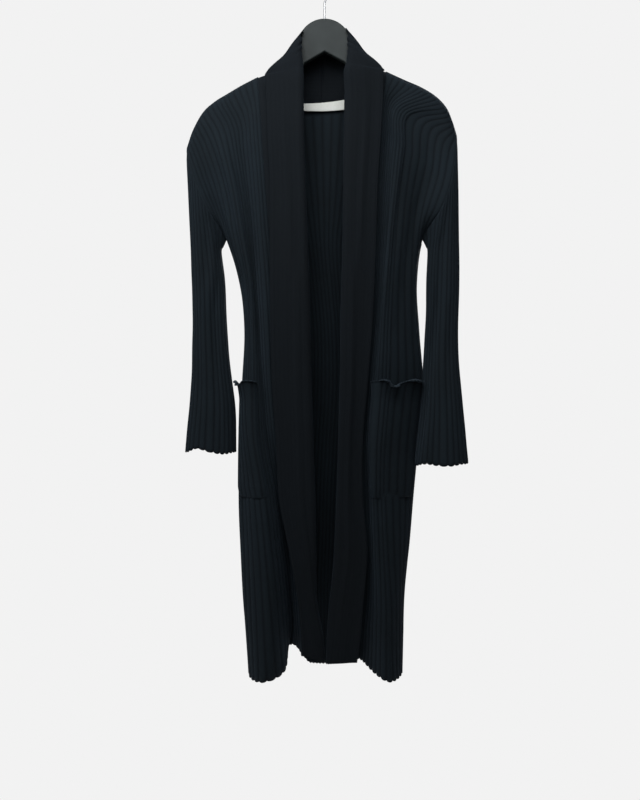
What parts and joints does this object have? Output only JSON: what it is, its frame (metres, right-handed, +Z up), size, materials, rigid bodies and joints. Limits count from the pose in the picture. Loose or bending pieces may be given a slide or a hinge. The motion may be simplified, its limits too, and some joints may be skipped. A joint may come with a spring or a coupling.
{
  "type": "long knitted jacket on a hanger",
  "caption": "Long open-front rib-knit jacket with a wide band collar, drop shoulders, flared sleeves and patch pockets, hung on a flat hanger with a wire hook.",
  "frame": {"origin": "inner top of the hook's curl, where the rail carries it", "axes": "+Z up along the hook's shank, the open front faces -Y, +X to the right as seen from the front"},
  "size_m": [0.5005, 0.1406, 1.2516],
  "materials": {
    "rib_knit": "matte fine rib knit, black",
    "label_satin": "soft satin ribbon, off-white, blank",
    "hanger_plate": "matte dark grey",
    "hook_wire": "satin grey wire"
  },
  "bodies": {
    "root": {"back": "rib_knit", "front_left": "rib_knit", "front_right": "rib_knit", "sleeve_left": "rib_knit", "sleeve_right": "rib_knit", "collar_left": "rib_knit", "collar_right": "rib_knit", "pocket_left": "rib_knit", "pocket_right": "rib_knit", "neck_label": "label_satin", "hanger_body": "hanger_plate", "hanger_hook": "hook_wire"}
  },
  "joints": []
}
